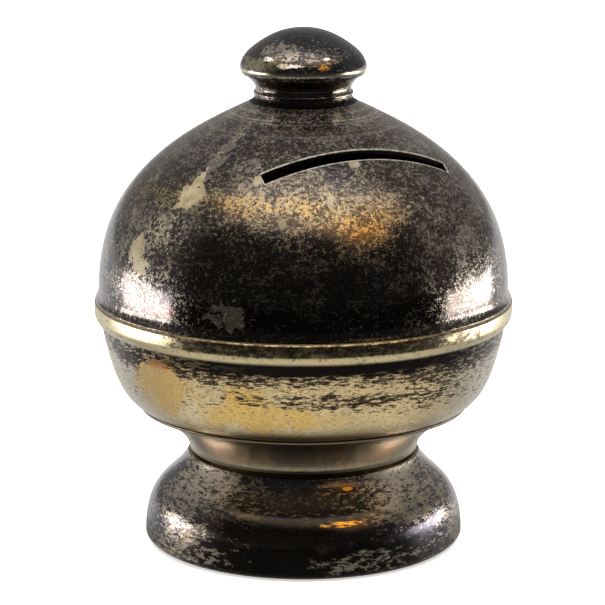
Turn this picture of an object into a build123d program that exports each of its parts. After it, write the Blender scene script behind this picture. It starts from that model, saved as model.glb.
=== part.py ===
from build123d import *
import os
from math import sqrt

# Coin bank jar: a ball of spun brass sheet on a flared foot. The upper half is a lid with
# a coin slot and a knob, and it lifts off. The foot is screwed to the bowl and clamps a
# loose neck collar between them.
#
# Frame: millimetres, +Z up, origin at the centre of the base. The coin slot faces -Y and
# runs along X. Every profile is drawn as (radius, height) and turned about Z.

# ---- Driving dimensions -----------------------------------------------------------------
SEAM_Z = 50.0            # the lid sits on the rim band at this height
FOOT_TOP_Z = 18.4        # outer shoulder of the foot, under the neck collar
COLLAR_Z = 18.9          # lower face of the neck collar, a thin gap above the shoulder
BOWL_FLOOR_Z = 27.6      # lower face of the bowl's flat bottom
CROWN_Z = 89.6           # flat top of the lid, where the knob sits
CAP_Z = 95.0             # lower face of the knob cap
CAP_TOP_Z = 104.25       # top of the knob, and of the whole jar

SHEET = 1.0              # wall of the lid and the bowl
FOOT_SHEET = 1.2         # wall of the foot
CAP_SHEET = 1.3          # wall of the knob cap

BOWL_RIM_R = 40.6        # outside of the bowl's straight rim, behind the band
BAND_R = 42.0           # outside of the rim band at the seam
LID_RIM_R = 41.75        # outside of the lid's flared lower edge
COLLAR_LOW_R = 23.1      # neck collar, at the gap above the foot
COLLAR_TIP_R = 33.2      # neck collar, at its upper edge under the bowl
CROWN_R = 10.7           # radius of the lid's flat top
CAP_R = 12.6             # widest part of the knob

SLOT_LENGTH = 39.4       # coin slot, along X
SLOT_WIDTH = 2.6
SLOT_LEAN = 30.2         # degrees that the slot's plane leans outwards from upright
SLOT_TILT = -2.4         # degrees that the slot is cut out of level
SLOT_Y = -23.75          # where the slot's middle meets the outside of the lid
SLOT_Z = 82.4

FIT = 0.10               # radial clearance of the lid's plug ring in the bowl
THREAD_FIT = 0.05        # radial clearance of the foot's screw thread
SEAT_GAP = 0.25          # clearance between curved faces of separate bodies

BIG_SCREW_R = 5.0        # M10 x 1.5 stud between bowl and foot
SMALL_SCREW_R = 2.0      # M4 stud through the knob
HEX = 2 / sqrt(3)        # a hexagon's width over corners, for a width of 1 over flats


# ---- Shaping helpers --------------------------------------------------------------------
def turned(*edges):
    """Solid turned about Z from the closed outline of the edges, in (radius, height)."""
    return revolve(Plane.XZ * make_face(Wire(edges)), Axis.Z)


def turned_polygon(*corners):
    """Solid turned about Z from a closed outline of straight sides."""
    return turned(*Polyline(*corners, close=True).edges())


def inner_side(curve, wall, count=13):
    """The curve moved by the sheet's thickness to its left, as seen along the curve."""
    points = []
    for i in range(count):
        at = i / (count - 1)
        along = curve % at
        points.append(curve @ at + Vector(-along.Y, along.X) * wall)
    return Spline(*points)


def tube(outer_r, inner_r, low_z, high_z):
    """Plain ring about Z."""
    return turned_polygon(
        (inner_r, low_z), (outer_r, low_z), (outer_r, high_z), (inner_r, high_z)
    )


def rod(radius, low_z, high_z):
    """Plain cylinder about Z."""
    return Pos(0, 0, low_z) * Cylinder(
        radius, high_z - low_z, align=(Align.CENTER, Align.CENTER, Align.MIN)
    )


def hexagon(across_flats, low_z, high_z):
    """Upright hexagonal block about Z."""
    block = extrude(RegularPolygon(across_flats * HEX / 2, 6), high_z - low_z)
    return Pos(0, 0, low_z) * block


# ---- Foot -------------------------------------------------------------------------------
FOOT_ROLL_R = 30.0       # where the foot's rolled edge touches the table
LAND_R = 21.0            # raised land that carries the neck collar
SPIGOT_R = 19.6          # spigot that centres the neck collar
BOSS_LOW_Z = 8.5


def foot_shell():
    """Hollow flared pedestal with a closed top, a raised land and a centring spigot."""
    roll = ThreePointArc((FOOT_ROLL_R, 0), (31.45, 0.6), (32.2, 1.6))
    flank = Spline(
        (32.2, 1.6), (31.85, 5.8), (30.95, 9.0), (29.1, 11.8), (26.7, 14.1),
        (24.8, 16.1), (23.4, FOOT_TOP_Z), tangents=[(0, 1), (-0.4, 1)],
    )
    inner = inner_side(flank, FOOT_SHEET)
    top_inside_z = FOOT_TOP_Z - FOOT_SHEET
    wall = turned(
        roll,
        flank,
        *Polyline(
            flank @ 1, (LAND_R, FOOT_TOP_Z), (LAND_R, COLLAR_Z), (SPIGOT_R, COLLAR_Z),
            (SPIGOT_R, COLLAR_Z + 0.9), (0, COLLAR_Z + 0.9), (0, top_inside_z),
            (22.0, top_inside_z), inner @ 1,
        ).edges(),
        inner,
        Line(inner @ 0, (FOOT_ROLL_R - 0.6, 0)),
        Line((FOOT_ROLL_R - 0.6, 0), (FOOT_ROLL_R, 0)),
    )
    return wall - rod(BIG_SCREW_R + 0.4, top_inside_z - 1, COLLAR_Z + 2)


def foot_boss():
    """Flanged boss brazed under the foot's top, with the thread that takes the stud."""
    flange_z = FOOT_TOP_Z - FOOT_SHEET
    bore_r = BIG_SCREW_R + THREAD_FIT
    return turned_polygon(
        (bore_r, BOSS_LOW_Z), (8.2, BOSS_LOW_Z), (8.8, BOSS_LOW_Z + 0.6),
        (8.8, flange_z - 1.4), (13.0, flange_z - 1.4), (13.0, flange_z), (bore_r, flange_z),
    )


def foot_rim_ring():
    """Flat stiffening ring soldered inside the foot's mouth, level with its edge."""
    return turned_polygon((25.6, 0), (29.4, 0), (30.65, 1.25), (30.65, 1.5), (25.6, 1.3))


# ---- Neck collar ------------------------------------------------------------------------
SEAT_LOW_R = 25.2        # flat seat under the bowl's bottom
SEAT_HIGH_R = 27.8
BOWL_LIP_R = 33.45       # where the bowl's visible side begins, just above the collar
BOWL_LIP_Z = 28.85


def neck_collar():
    """Coved ring between foot and bowl, with an upper flange under the bowl's edge."""
    cove = Spline(
        (COLLAR_LOW_R, COLLAR_Z + 0.3), (23.9, 21.5), (25.5, 23.4), (28.7, 26.1),
        (COLLAR_TIP_R, 28.1), tangents=[(0.15, 1), (1, 0.4)],
    )
    return turned(
        cove,
        *Polyline(
            cove @ 1, (COLLAR_TIP_R, BOWL_LIP_Z - SEAT_GAP),
            (SEAT_HIGH_R + 0.5, BOWL_FLOOR_Z - SEAT_GAP), (SEAT_HIGH_R, BOWL_FLOOR_Z),
            (SEAT_LOW_R, BOWL_FLOOR_Z), (23.0, 24.0), (21.8, 20.6),
            (SPIGOT_R + SEAT_GAP, 20.2), (SPIGOT_R + SEAT_GAP, COLLAR_Z),
            (COLLAR_LOW_R - 0.3, COLLAR_Z), cove @ 0,
        ).edges(),
    )


# ---- Bowl -------------------------------------------------------------------------------
WASHER_TOP_Z = BOWL_FLOOR_Z + SHEET + 1.2


def bowl_shell():
    """Lower half of the ball: straight rim, round side, and a flat bottom with a hole."""
    side = Spline(
        (BOWL_LIP_R, BOWL_LIP_Z), (36.0, 31.2), (37.5, 33.8), (39.5, 39.9),
        (BOWL_RIM_R, 45.4), tangents=[(1, 0.65), (0.1, 1)],
    )
    inner = inner_side(side, SHEET)
    hole_r = BIG_SCREW_R + 0.1
    rim_in_r = (inner @ 1).X
    return turned(
        side,
        Line(side @ 1, (BOWL_RIM_R, SEAM_Z)),
        Line((BOWL_RIM_R, SEAM_Z), (rim_in_r, SEAM_Z)),
        Line((rim_in_r, SEAM_Z), inner @ 1),
        inner,
        *Polyline(
            inner @ 0, (SEAT_HIGH_R + 0.4, BOWL_FLOOR_Z + SHEET),
            (hole_r, BOWL_FLOOR_Z + SHEET), (hole_r, BOWL_FLOOR_Z),
            (SEAT_HIGH_R + 0.6, BOWL_FLOOR_Z), side @ 0,
        ).edges(),
    )


def rim_band():
    """Half-round ring soldered around the bowl's rim. The lid rests on its top."""
    bulge = ThreePointArc((BOWL_RIM_R, 45.4), (41.62, 46.25), (BAND_R, 47.6))
    return turned(
        bulge,
        *Polyline(
            bulge @ 1, (BAND_R, SEAM_Z - 0.4), (BAND_R - 0.4, SEAM_Z), (BOWL_RIM_R, SEAM_Z),
            (BOWL_RIM_R, 45.4),
        ).edges(),
    )


def bowl_washer():
    """Plate that backs the bowl's thin bottom under the stud's head."""
    low = BOWL_FLOOR_Z + SHEET
    return tube(13.0, BIG_SCREW_R + 0.1, low, WASHER_TOP_Z)


def bowl_stud():
    """Hexagon-headed screw through the bowl's bottom, into the foot's boss."""
    head = hexagon(16.0, WASHER_TOP_Z, WASHER_TOP_Z + 4.2)
    cone = Pos(0, 0, WASHER_TOP_Z + 4.2) * Cone(
        10.4, 7.4, 3.0, align=(Align.CENTER, Align.CENTER, Align.MAX)
    )
    shank = rod(BIG_SCREW_R, BOSS_LOW_Z + 0.8, WASHER_TOP_Z)
    point = chamfer(shank.edges().sort_by(Axis.Z)[0], 0.8)
    return (head & (cone + rod(10.4, WASHER_TOP_Z, WASHER_TOP_Z + 1.2))) + point


# ---- Lid --------------------------------------------------------------------------------
PLUG_LOW_Z = 44.2        # the lid's plug ring reaches this far down into the bowl
PLUG_HIGH_Z = 53.5
LID_SIDE_R = 41.12       # outside of the lid just above its flared edge
LID_SIDE_Z = 52.6


def lid_dome():
    """Upper half of the ball, open below, with the coin slot and a hole for the knob."""
    side = Spline(
        (LID_SIDE_R, LID_SIDE_Z), (40.35, 60.0), (37.65, 68.0), (31.9, 76.0), (23.95, 82.5),
        (CROWN_R, CROWN_Z), tangents=[(0, 1), (-0.9, 0.43)],
    )
    inner = inner_side(side, SHEET, 25)
    hole_r = SMALL_SCREW_R + 0.1
    shell = turned(
        Line((LID_RIM_R, SEAM_Z), (LID_RIM_R, SEAM_Z + 0.35)),
        ThreePointArc((LID_RIM_R, SEAM_Z + 0.35), (41.32, 51.3), side @ 0),
        side,
        Line(side @ 1, (hole_r, CROWN_Z)),
        Line((hole_r, CROWN_Z), (hole_r, CROWN_Z - SHEET)),
        Line((hole_r, CROWN_Z - SHEET), inner @ 1),
        inner,
        Line(inner @ 0, ((inner @ 0).X, SEAM_Z)),
        Line(((inner @ 0).X, SEAM_Z), (LID_RIM_R, SEAM_Z)),
    )
    cutter = Box(SLOT_LENGTH, SLOT_WIDTH, 12.0)
    return shell - Pos(0, SLOT_Y, SLOT_Z) * Rot(SLOT_LEAN, 0, 0) * Rot(0, 0, SLOT_TILT) * cutter


def lid_collar():
    """Stepped plug ring soldered inside the lid, a running fit in the bowl's mouth."""
    plug_r = BOWL_RIM_R - SHEET - FIT
    seat_r = LID_SIDE_R - SHEET
    wall = 0.9
    return turned_polygon(
        (plug_r - wall, PLUG_LOW_Z), (plug_r - 0.4, PLUG_LOW_Z), (plug_r, PLUG_LOW_Z + 0.8),
        (plug_r, SEAM_Z), (seat_r, SEAM_Z), (seat_r, LID_SIDE_Z),
        (seat_r - 0.1, PLUG_HIGH_Z), (plug_r - wall, PLUG_HIGH_Z),
    )


# ---- Knob -------------------------------------------------------------------------------
STUD_FLANGE_R = 6.0
STUD_FLANGE_TOP_Z = CAP_Z + 1.0
WASHER_LOW_Z = CROWN_Z - SHEET - 1.0
NUT_LOW_Z = WASHER_LOW_Z - 3.2


def knob_neck():
    """Waisted stem below the knob cap, with a turned bead above its flared base."""
    flare = ThreePointArc((10.6, CROWN_Z + 0.1), (9.98, 90.2), (9.75, 91.1))
    bead = ThreePointArc((9.75, 91.1), (9.95, 91.5), (9.6, 91.85))
    waist = Spline((9.6, 91.85), (9.55, 92.5), (10.2, 93.7), (11.4, CAP_Z), tangents=[(-0.2, 1), (1, 1)])
    hole_r = SMALL_SCREW_R + 0.1
    return turned(
        Line((10.6, CROWN_Z), (10.6, CROWN_Z + 0.1)),
        flare,
        bead,
        waist,
        *Polyline(
            waist @ 1, (hole_r, CAP_Z), (hole_r, CROWN_Z), (10.6, CROWN_Z),
        ).edges(),
    )


def knob_cap():
    """Hollow mushroom cap with a thick lower rim."""
    rim = ThreePointArc((11.9, CAP_Z), (CAP_R, 96.5), (12.3, 97.8))
    dome = Spline(
        (12.3, 97.8), (8.95, 101.3), (4.4, 103.6), (0, CAP_TOP_Z),
        tangents=[(-0.42, 1), (-1, 0)],
    )
    inner = inner_side(dome, CAP_SHEET)
    return turned(
        rim,
        dome,
        Line((0, CAP_TOP_Z), inner @ 1),
        inner,
        *Polyline(inner @ 0, (10.6, 96.4), (10.6, CAP_Z), (11.9, CAP_Z)).edges(),
    )


def knob_stud():
    """Flanged screw that ties the knob's neck to the lid."""
    flange = rod(STUD_FLANGE_R, CAP_Z, STUD_FLANGE_TOP_Z)
    return flange + rod(SMALL_SCREW_R, NUT_LOW_Z - 1.6, CAP_Z)


def knob_washer():
    """Plain washer under the lid's crown."""
    return tube(6.0, SMALL_SCREW_R + 0.1, WASHER_LOW_Z, CROWN_Z - SHEET)


def knob_nut():
    """Hexagon nut under the washer."""
    nut = hexagon(7.0, NUT_LOW_Z, WASHER_LOW_Z)
    return nut - rod(SMALL_SCREW_R, NUT_LOW_Z - 1, WASHER_LOW_Z + 1)


# ---- Export -----------------------------------------------------------------------------
PARTS = [
    foot_shell, foot_boss, foot_rim_ring, neck_collar,
    bowl_shell, rim_band, bowl_washer, bowl_stud,
    lid_dome, lid_collar, knob_neck, knob_cap, knob_stud, knob_washer, knob_nut,
]

os.makedirs("parts", exist_ok=True)
for make in PARTS:
    export_step(make(), f"parts/{make.__name__}.step")
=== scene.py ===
import bpy
import math
import numpy as np
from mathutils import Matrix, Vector, geometry


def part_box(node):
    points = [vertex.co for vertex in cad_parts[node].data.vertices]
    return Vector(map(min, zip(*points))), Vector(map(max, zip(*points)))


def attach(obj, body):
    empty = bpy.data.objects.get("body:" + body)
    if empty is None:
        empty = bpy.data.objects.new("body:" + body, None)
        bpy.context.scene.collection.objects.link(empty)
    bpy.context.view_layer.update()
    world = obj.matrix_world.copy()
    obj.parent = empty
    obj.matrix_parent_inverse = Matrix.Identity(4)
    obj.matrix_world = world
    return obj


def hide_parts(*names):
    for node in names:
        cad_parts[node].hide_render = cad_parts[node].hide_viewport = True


# Looks of the coin bank jar. Lengths are millimetres here and become metres in the meshes.
# The camera stands at azimuth CAM, with the coin slot (azimuth 0, facing -Y) to its right.

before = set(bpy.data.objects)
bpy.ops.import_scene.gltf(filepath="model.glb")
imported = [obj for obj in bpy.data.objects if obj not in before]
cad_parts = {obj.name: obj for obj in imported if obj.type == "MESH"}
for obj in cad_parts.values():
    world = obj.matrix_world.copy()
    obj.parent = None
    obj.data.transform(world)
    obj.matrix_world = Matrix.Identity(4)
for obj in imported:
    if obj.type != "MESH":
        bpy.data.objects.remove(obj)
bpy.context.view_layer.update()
MM = 0.001
CAM = -27.77
STEPS = 360


# ---- Profiles ---------------------------------------------------------------------------
def spline(points, first, last, step=0.4):
    """Smooth curve through the points, with given end directions, cut into short steps."""
    p = np.array(points, float)
    chord = np.hypot(*np.diff(p, axis=0).T)
    t = np.concatenate([[0], np.cumsum(chord)])
    n = len(p)
    a, b = np.zeros((n, n)), np.zeros((n, 2))
    a[0, 0] = a[-1, -1] = 1
    b[0], b[-1] = np.array(first) / np.hypot(*first), np.array(last) / np.hypot(*last)
    for i in range(1, n - 1):
        h0, h1 = chord[i - 1], chord[i]
        a[i, i - 1:i + 2] = h1, 2 * (h0 + h1), h0
        b[i] = 3 * (h1 * (p[i] - p[i - 1]) / h0 + h0 * (p[i + 1] - p[i]) / h1)
    m = np.linalg.solve(a, b)
    out = []
    for i in range(n - 1):
        u = np.linspace(0, 1, max(3, int(chord[i] / step) + 1))[:, None]
        out.append((2 * u**3 - 3 * u**2 + 1) * p[i] + (u**3 - 2 * u**2 + u) * chord[i] * m[i]
                   + (3 * u**2 - 2 * u**3) * p[i + 1] + (u**3 - u**2) * chord[i] * m[i + 1])
        if i < n - 2:
            out[-1] = out[-1][:-1]
    return np.vstack(out)


def arc(a, b, c, count=9):
    """Circular arc from a to c through b."""
    (ax, ay), (bx, by), (cx, cy) = a, b, c
    d = 2 * (ax * (by - cy) + bx * (cy - ay) + cx * (ay - by))
    s1, s2, s3 = ax * ax + ay * ay, bx * bx + by * by, cx * cx + cy * cy
    o = np.array([(s1 * (by - cy) + s2 * (cy - ay) + s3 * (ay - by)) / d,
                  (s1 * (cx - bx) + s2 * (ax - cx) + s3 * (bx - ax)) / d])
    r = np.hypot(*(np.array(a) - o))
    ta, tb, tc = (math.atan2(p[1] - o[1], p[0] - o[0]) for p in (a, b, c))
    turn = (tc - ta) % (2 * math.pi)
    if (tb - ta) % (2 * math.pi) > turn:
        turn -= 2 * math.pi
    t = ta + np.linspace(0, turn, count)
    return o + r * np.column_stack([np.cos(t), np.sin(t)])


def line(*points):
    return np.array(points, float)


def offset(curve, wall):
    """The curve moved by the sheet's thickness to its left."""
    t = np.gradient(curve, axis=0)
    t /= np.hypot(*t.T)[:, None]
    return curve + np.column_stack([-t[:, 1], t[:, 0]]) * wall


def outline(runs, corners):
    """Closed profile from runs of points; corners[i] is the edge radius where run i ends."""
    runs = [np.array(r, float) for r in runs]
    rows, hard, run = [], [], []
    n = len(runs)
    keep = []
    for i, r in enumerate(runs):
        r = trim(r, corners[i - 1])
        keep.append(trim(r[::-1], corners[i])[::-1])
    for i in range(n):
        rows += list(keep[i])
        hard += [False] * len(keep[i])
        run += [i] * len(keep[i])
        a, corner, b = keep[i][-1], runs[i][-1], keep[(i + 1) % n][0]
        if corners[i]:
            for u in (0.2, 0.4, 0.6, 0.8):
                rows.append((1 - u)**2 * a + 2 * u * (1 - u) * corner + u * u * b)
                hard.append(False)
                run.append(i)
        else:
            hard[-1] = True
    return np.array(rows), hard, run


def trim(run, cut):
    """Drops the first stretch of a run, to leave room for a rounded edge."""
    if not cut:
        return run
    d = np.concatenate([[0], np.cumsum(np.hypot(*np.diff(run, axis=0).T))])
    start = [np.interp(cut, d, run[:, 0]), np.interp(cut, d, run[:, 1])]
    return np.vstack([start, run[d > cut + 1e-6]])


# ---- Meshes -----------------------------------------------------------------------------
class Shell:
    """Collects vertices, faces and smooth normals, and becomes one piece."""

    def __init__(self):
        self.co, self.count = [], 0
        self.faces, self.normals, self.paint = [], [], []

    def add(self, points):
        first = self.count
        self.co.append(np.asarray(points, float))
        self.count += len(self.co[-1])
        return first

    def add_faces(self, corners, normals, paint=0):
        """corners is (faces, 3 or 4), normals is (faces, 3 or 4, 3)."""
        self.faces += np.asarray(corners).tolist()
        self.normals.append(np.asarray(normals, float).reshape(-1, 3))
        self.paint += [paint] * len(corners)

    def piece(self, name, body, nodes, materials):
        mesh = bpy.data.meshes.new(name)
        mesh.from_pydata((np.vstack(self.co) * MM).tolist(), [], self.faces)
        mesh.polygons.foreach_set("use_smooth", [True] * len(mesh.polygons))
        for m in materials:
            mesh.materials.append(m)
        mesh.polygons.foreach_set("material_index", self.paint)
        mesh.normals_split_custom_set(np.vstack(self.normals).tolist())
        o = bpy.data.objects.new(name, mesh)
        bpy.context.scene.collection.objects.link(o)
        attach(o, body)
        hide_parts(*nodes)
        return o


def profile_normals(rows, hard):
    """For each point of a closed profile, its outward normal as the end and start of a run."""
    n = len(rows)
    step = np.roll(rows, -1, 0) - rows
    length = np.maximum(np.hypot(*step.T), 1e-9)[:, None]
    side = np.column_stack([step[:, 1], -step[:, 0]]) / length
    before, after = np.roll(side, 1, 0), side.copy()
    w0, w1 = 1 / np.roll(length, 1, 0), 1 / length
    smooth = before * w0 + after * w1
    smooth /= np.maximum(np.hypot(*smooth.T), 1e-9)[:, None]
    ends, starts = smooth.copy(), smooth.copy()
    for i in range(n):
        if hard[i]:
            j = (i + 1) % n
            if np.hypot(*(rows[j] - rows[i])) < 1e-6:      # the next run starts here
                ends[i], starts[i] = before[i], before[i]
                ends[j], starts[j] = after[j], after[j]
            else:
                ends[i], starts[i] = before[i], after[i]
    return ends, starts


def lathe(shell, profile, inside=(), windows=(), steps=STEPS):
    """Turns a closed profile about Z. Runs listed in inside take the second paint.
    A window (low row, high row, low column, high column) is left open."""
    rows, hard, run = profile
    ends, starts = profile_normals(rows, hard)
    t = 2 * math.pi * np.arange(steps + 1) / steps
    c, s = np.sin(t), -np.cos(t)
    first = [shell.add(np.column_stack([r * c[:-1], r * s[:-1], np.full(steps, z)])) for r, z in rows]
    k = np.arange(steps)
    m = (k + 1) % steps
    side = np.where(k < steps / 2, k, k - steps)
    for i in range(len(rows)):
        j = (i + 1) % len(rows)
        if np.hypot(*(rows[j] - rows[i])) < 1e-6:
            continue
        na, nb = starts[i], ends[j]
        corners = np.column_stack([first[i] + k, first[i] + m, first[j] + m, first[j] + k])
        a = np.column_stack([na[0] * c, na[0] * s, np.full(steps + 1, na[1])])
        b = np.column_stack([nb[0] * c, nb[0] * s, np.full(steps + 1, nb[1])])
        normals = np.stack([a[:-1], a[1:], b[1:], b[:-1]], 1)
        keep = np.ones(steps, bool)
        for lo, hi, left, right in windows:
            if lo <= i < hi:
                keep &= ~((side >= left) & (side < right))
        shell.add_faces(corners[keep], normals[keep], 1 if run[i] in inside else 0)
    return first


# ---- Materials --------------------------------------------------------------------------
class X:
    """A number in a node tree. Arithmetic on it adds math nodes."""

    def __init__(self, tree, socket):
        self.tree, self.socket = tree, socket

    def op(self, name, *others, clamp=False):
        n = self.tree.nodes.new("ShaderNodeMath")
        n.operation, n.use_clamp = name, clamp
        for i, v in enumerate((self, *others)):
            feed(self.tree, v, n.inputs[i])
        return X(self.tree, n.outputs[0])

    def __add__(self, o): return self.op("ADD", o)
    def __sub__(self, o): return self.op("SUBTRACT", o)
    def __mul__(self, o): return self.op("MULTIPLY", o)
    def __truediv__(self, o): return self.op("DIVIDE", o)
    def __rtruediv__(self, o): return self.op("POWER", -1.0) * o
    def __rsub__(self, o): return (self * -1.0) + o
    __radd__, __rmul__ = __add__, __mul__

    def clamp(self): return self.op("ADD", 0.0, clamp=True)
    def abs(self): return self.op("ABSOLUTE")
    def max(self, o): return self.op("MAXIMUM", o)

    def ramp(self, lo, hi, a=0.0, b=1.0):
        """Smooth step from a at lo to b at hi."""
        n = self.tree.nodes.new("ShaderNodeMapRange")
        n.interpolation_type = "SMOOTHSTEP"
        for i, v in enumerate((self, lo, hi, a, b)):
            feed(self.tree, v, n.inputs[i])
        return X(self.tree, n.outputs[0])

    def bump(self, centre, width):
        """1 at the centre, falling to 0 either side like a bell."""
        d = (self - centre) / width
        return (d * d * -1.0).op("EXPONENT")


def feed(tree, value, socket):
    if isinstance(value, X):
        tree.links.new(value.socket, socket)
    elif socket.type == "RGBA" and len(value) == 3:
        socket.default_value = (*value, 1.0)
    else:
        socket.default_value = value


def blend(tree, a, b, by):
    """Colour a where by is 0, and colour b where it is 1."""
    n = tree.nodes.new("ShaderNodeMix")
    n.data_type = "RGBA"
    feed(tree, by, n.inputs[0])
    feed(tree, a, n.inputs[6])
    feed(tree, b, n.inputs[7])
    return X(tree, n.outputs[2])


class Paint:
    """A node material in millimetres of the object's own frame. u is the azimuth in degrees
    from the camera's side, r the distance from the axis."""

    def __init__(self, name):
        self.material = bpy.data.materials.new(name)
        self.material.use_nodes = True
        self.tree = self.material.node_tree
        self.tree.nodes.clear()
        coord = self.tree.nodes.new("ShaderNodeTexCoord")
        self.pos = self.scaled(X(self.tree, coord.outputs["Object"]), (1000, 1000, 1000))
        split = self.tree.nodes.new("ShaderNodeSeparateXYZ")
        feed(self.tree, self.pos, split.inputs[0])
        self.x, self.y, self.z = (X(self.tree, split.outputs[i]) for i in range(3))
        self.r = (self.x * self.x + self.y * self.y).op("SQRT")
        azimuth = self.x.op("ARCTAN2", self.y * -1.0) * (180 / math.pi)
        self.u = (azimuth - CAM + 180.0).op("FLOORED_MODULO", 360.0) - 180.0

    def scaled(self, vector, by):
        n = self.tree.nodes.new("ShaderNodeVectorMath")
        n.operation = "MULTIPLY"
        feed(self.tree, vector, n.inputs[0])
        n.inputs[1].default_value = by
        return X(self.tree, n.outputs[0])

    def vector(self, x, y, z):
        n = self.tree.nodes.new("ShaderNodeCombineXYZ")
        for i, v in enumerate((x, y, z)):
            feed(self.tree, v, n.inputs[i])
        return X(self.tree, n.outputs[0])

    def around(self, radius, height, squash):
        """Coordinates that follow the turned surface: arc length round, and squashed height."""
        k = radius / self.r.max(0.5)
        return self.vector(self.x * k, self.y * k, height * squash)

    def noise(self, vector, scale, detail=2.0, rough=0.5, distortion=0.0):
        n = self.tree.nodes.new("ShaderNodeTexNoise")
        feed(self.tree, vector, n.inputs["Vector"])
        settings = {"Scale": scale, "Detail": detail, "Roughness": rough, "Distortion": distortion}
        for key, value in settings.items():
            n.inputs[key].default_value = value
        return X(self.tree, n.outputs[0])

    def spot(self, u, z, wide, high, ragged=None):
        """Patch at azimuth u (from the camera) and height z, 1 inside and 0 outside."""
        a = (self.u - u) / wide
        b = (self.z - z) / high
        d = a * a + b * b
        if ragged is not None:
            d = d + ragged
        return d.ramp(1.25, 0.75)

    def mix(self, a, b, by):
        return blend(self.tree, a, b, by)

    def finish(self, colour, metallic, rough, height=None, depth=0.0):
        """depth is how far the bump reaches, in millimetres."""
        b = self.tree.nodes.new("ShaderNodeBsdfPrincipled")
        feed(self.tree, colour, b.inputs["Base Color"])
        feed(self.tree, metallic, b.inputs["Metallic"])
        feed(self.tree, rough, b.inputs["Roughness"])
        if height is not None:
            n = self.tree.nodes.new("ShaderNodeBump")
            n.inputs["Distance"].default_value = depth * MM
            n.inputs["Strength"].default_value = 1.0
            feed(self.tree, height, n.inputs["Height"])
            self.tree.links.new(n.outputs[0], b.inputs["Normal"])
        out = self.tree.nodes.new("ShaderNodeOutputMaterial")
        self.tree.links.new(b.outputs[0], out.inputs["Surface"])
        return self.material


PATINA = (0.112, 0.098, 0.085)
SILVER = (0.50, 0.46, 0.39)
KHAKI = (0.52, 0.45, 0.31)
SOOT_AND_SHADE = (0.010, 0.009, 0.008)


def tarnish(p, fine, cloud, warm=0.3):
    """Dark sulphide film: brown-black, with violet, blue and rust tints that show in highlights."""
    tint = p.noise(p.pos, 0.7, 3.0, 0.7)
    c = p.mix(PATINA, (0.098, 0.096, 0.122), cloud.ramp(0.50, 0.60))
    c = p.mix(c, (0.150, 0.105, 0.110), tint.ramp(0.52, 0.62) * 0.7)
    c = p.mix(c, (0.23, 0.10, 0.055), fine.ramp(0.54, 0.64) * tint.ramp(0.40, 0.55) * warm)
    return p.mix(c, (0.036, 0.030, 0.028), (fine + tint * 0.5).ramp(0.74, 0.58) * 0.8)


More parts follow.
